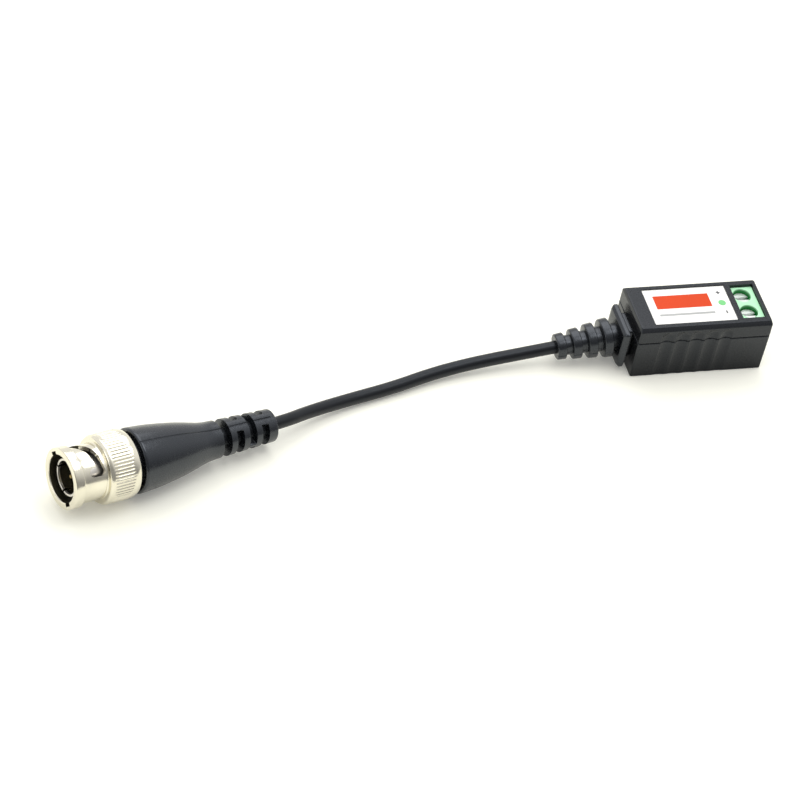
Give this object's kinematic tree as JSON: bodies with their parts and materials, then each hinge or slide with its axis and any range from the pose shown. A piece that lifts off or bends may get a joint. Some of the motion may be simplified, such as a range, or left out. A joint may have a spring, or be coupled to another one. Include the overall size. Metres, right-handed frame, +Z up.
{
  "type": "video balun",
  "caption": "Passive video balun: a small moulded case with a screw terminal for twisted pair at one end and a short strain-relieved lead with a bayonet video plug at the other.",
  "frame": {"origin": "middle of the case underside, on the surface it lies on", "axes": "+X along the case towards its screw terminal, +Z up out of the label"},
  "size_m": [0.1642, 0.0461, 0.0149],
  "materials": {
    "case_plastic": "fine satin texture, near black",
    "label_film": "satin white film",
    "flexible_black": "soft black moulding with a slight sheen",
    "cord_black": "smooth black jacket",
    "terminal_green": "green moulding",
    "board_green": "green laminate",
    "nickel_plate": "bright nickel plate",
    "pin_gold": "thin gold flash",
    "tinned_brass": "tin plate",
    "zinc_steel": "zinc plate",
    "spring_steel": "plain",
    "ferrite": "dull dark grey",
    "copper_wire": "enamelled",
    "insulator_white": "waxy white",
    "chip_black": "matt",
    "lead_red": "insulated core"
  },
  "bodies": {
    "case": {"base_shell": "case_plastic", "top_cover": "case_plastic", "label": "label_film", "circuit_board": "board_green", "transformer_core": "ferrite", "transformer_winding": "copper_wire", "surge_suppressor": "chip_black", "chip_parts": "chip_black", "terminal_housing": "terminal_green", "clamp_cage_front": "zinc_steel", "clamp_cage_rear": "zinc_steel", "terminal_contact_front": "tinned_brass", "terminal_contact_rear": "tinned_brass", "strain_relief": "flexible_black", "cord": "cord_black", "centre_lead": "lead_red", "screen_lead": "tinned_brass", "plug_body": "nickel_plate", "wave_spring": "spring_steel", "plug_insulator": "insulator_white", "centre_pin": "pin_gold", "crimp_ferrule": "nickel_plate", "plug_boot": "flexible_black"},
    "coupling_washer": {"thrust_washer": "spring_steel"},
    "coupling_nut": {"coupling_nut": "nickel_plate", "retaining_ring": "spring_steel"},
    "screw_front": {"terminal_screw_front": "zinc_steel"},
    "screw_rear": {"terminal_screw_rear": "zinc_steel"}
  },
  "joints": [
    {"name": "coupling_push", "type": "slide", "parent": "case", "child": "coupling_washer", "axis": [-0.9555, -0.2865, 0.0698], "range_m": [0, 0.001], "stiffness_N_per_m": 800, "deforming": ["wave_spring"]},
    {"name": "coupling_spin", "type": "hinge", "parent": "coupling_washer", "child": "coupling_nut", "pos_m": [-0.14019, -0.03072, 0.00771], "axis": [-0.9555, -0.2865, 0.0698], "continuous": true},
    {"name": "screw_front_turn", "type": "hinge", "parent": "case", "child": "screw_front", "pos_m": [0.0111, -0.00254, 0.0105], "axis": [0, 0, -1], "range_deg": [0, 1040]},
    {"name": "screw_rear_turn", "type": "hinge", "parent": "case", "child": "screw_rear", "pos_m": [0.0111, 0.00254, 0.0105], "axis": [0, 0, -1], "range_deg": [0, 1040]}
  ]
}
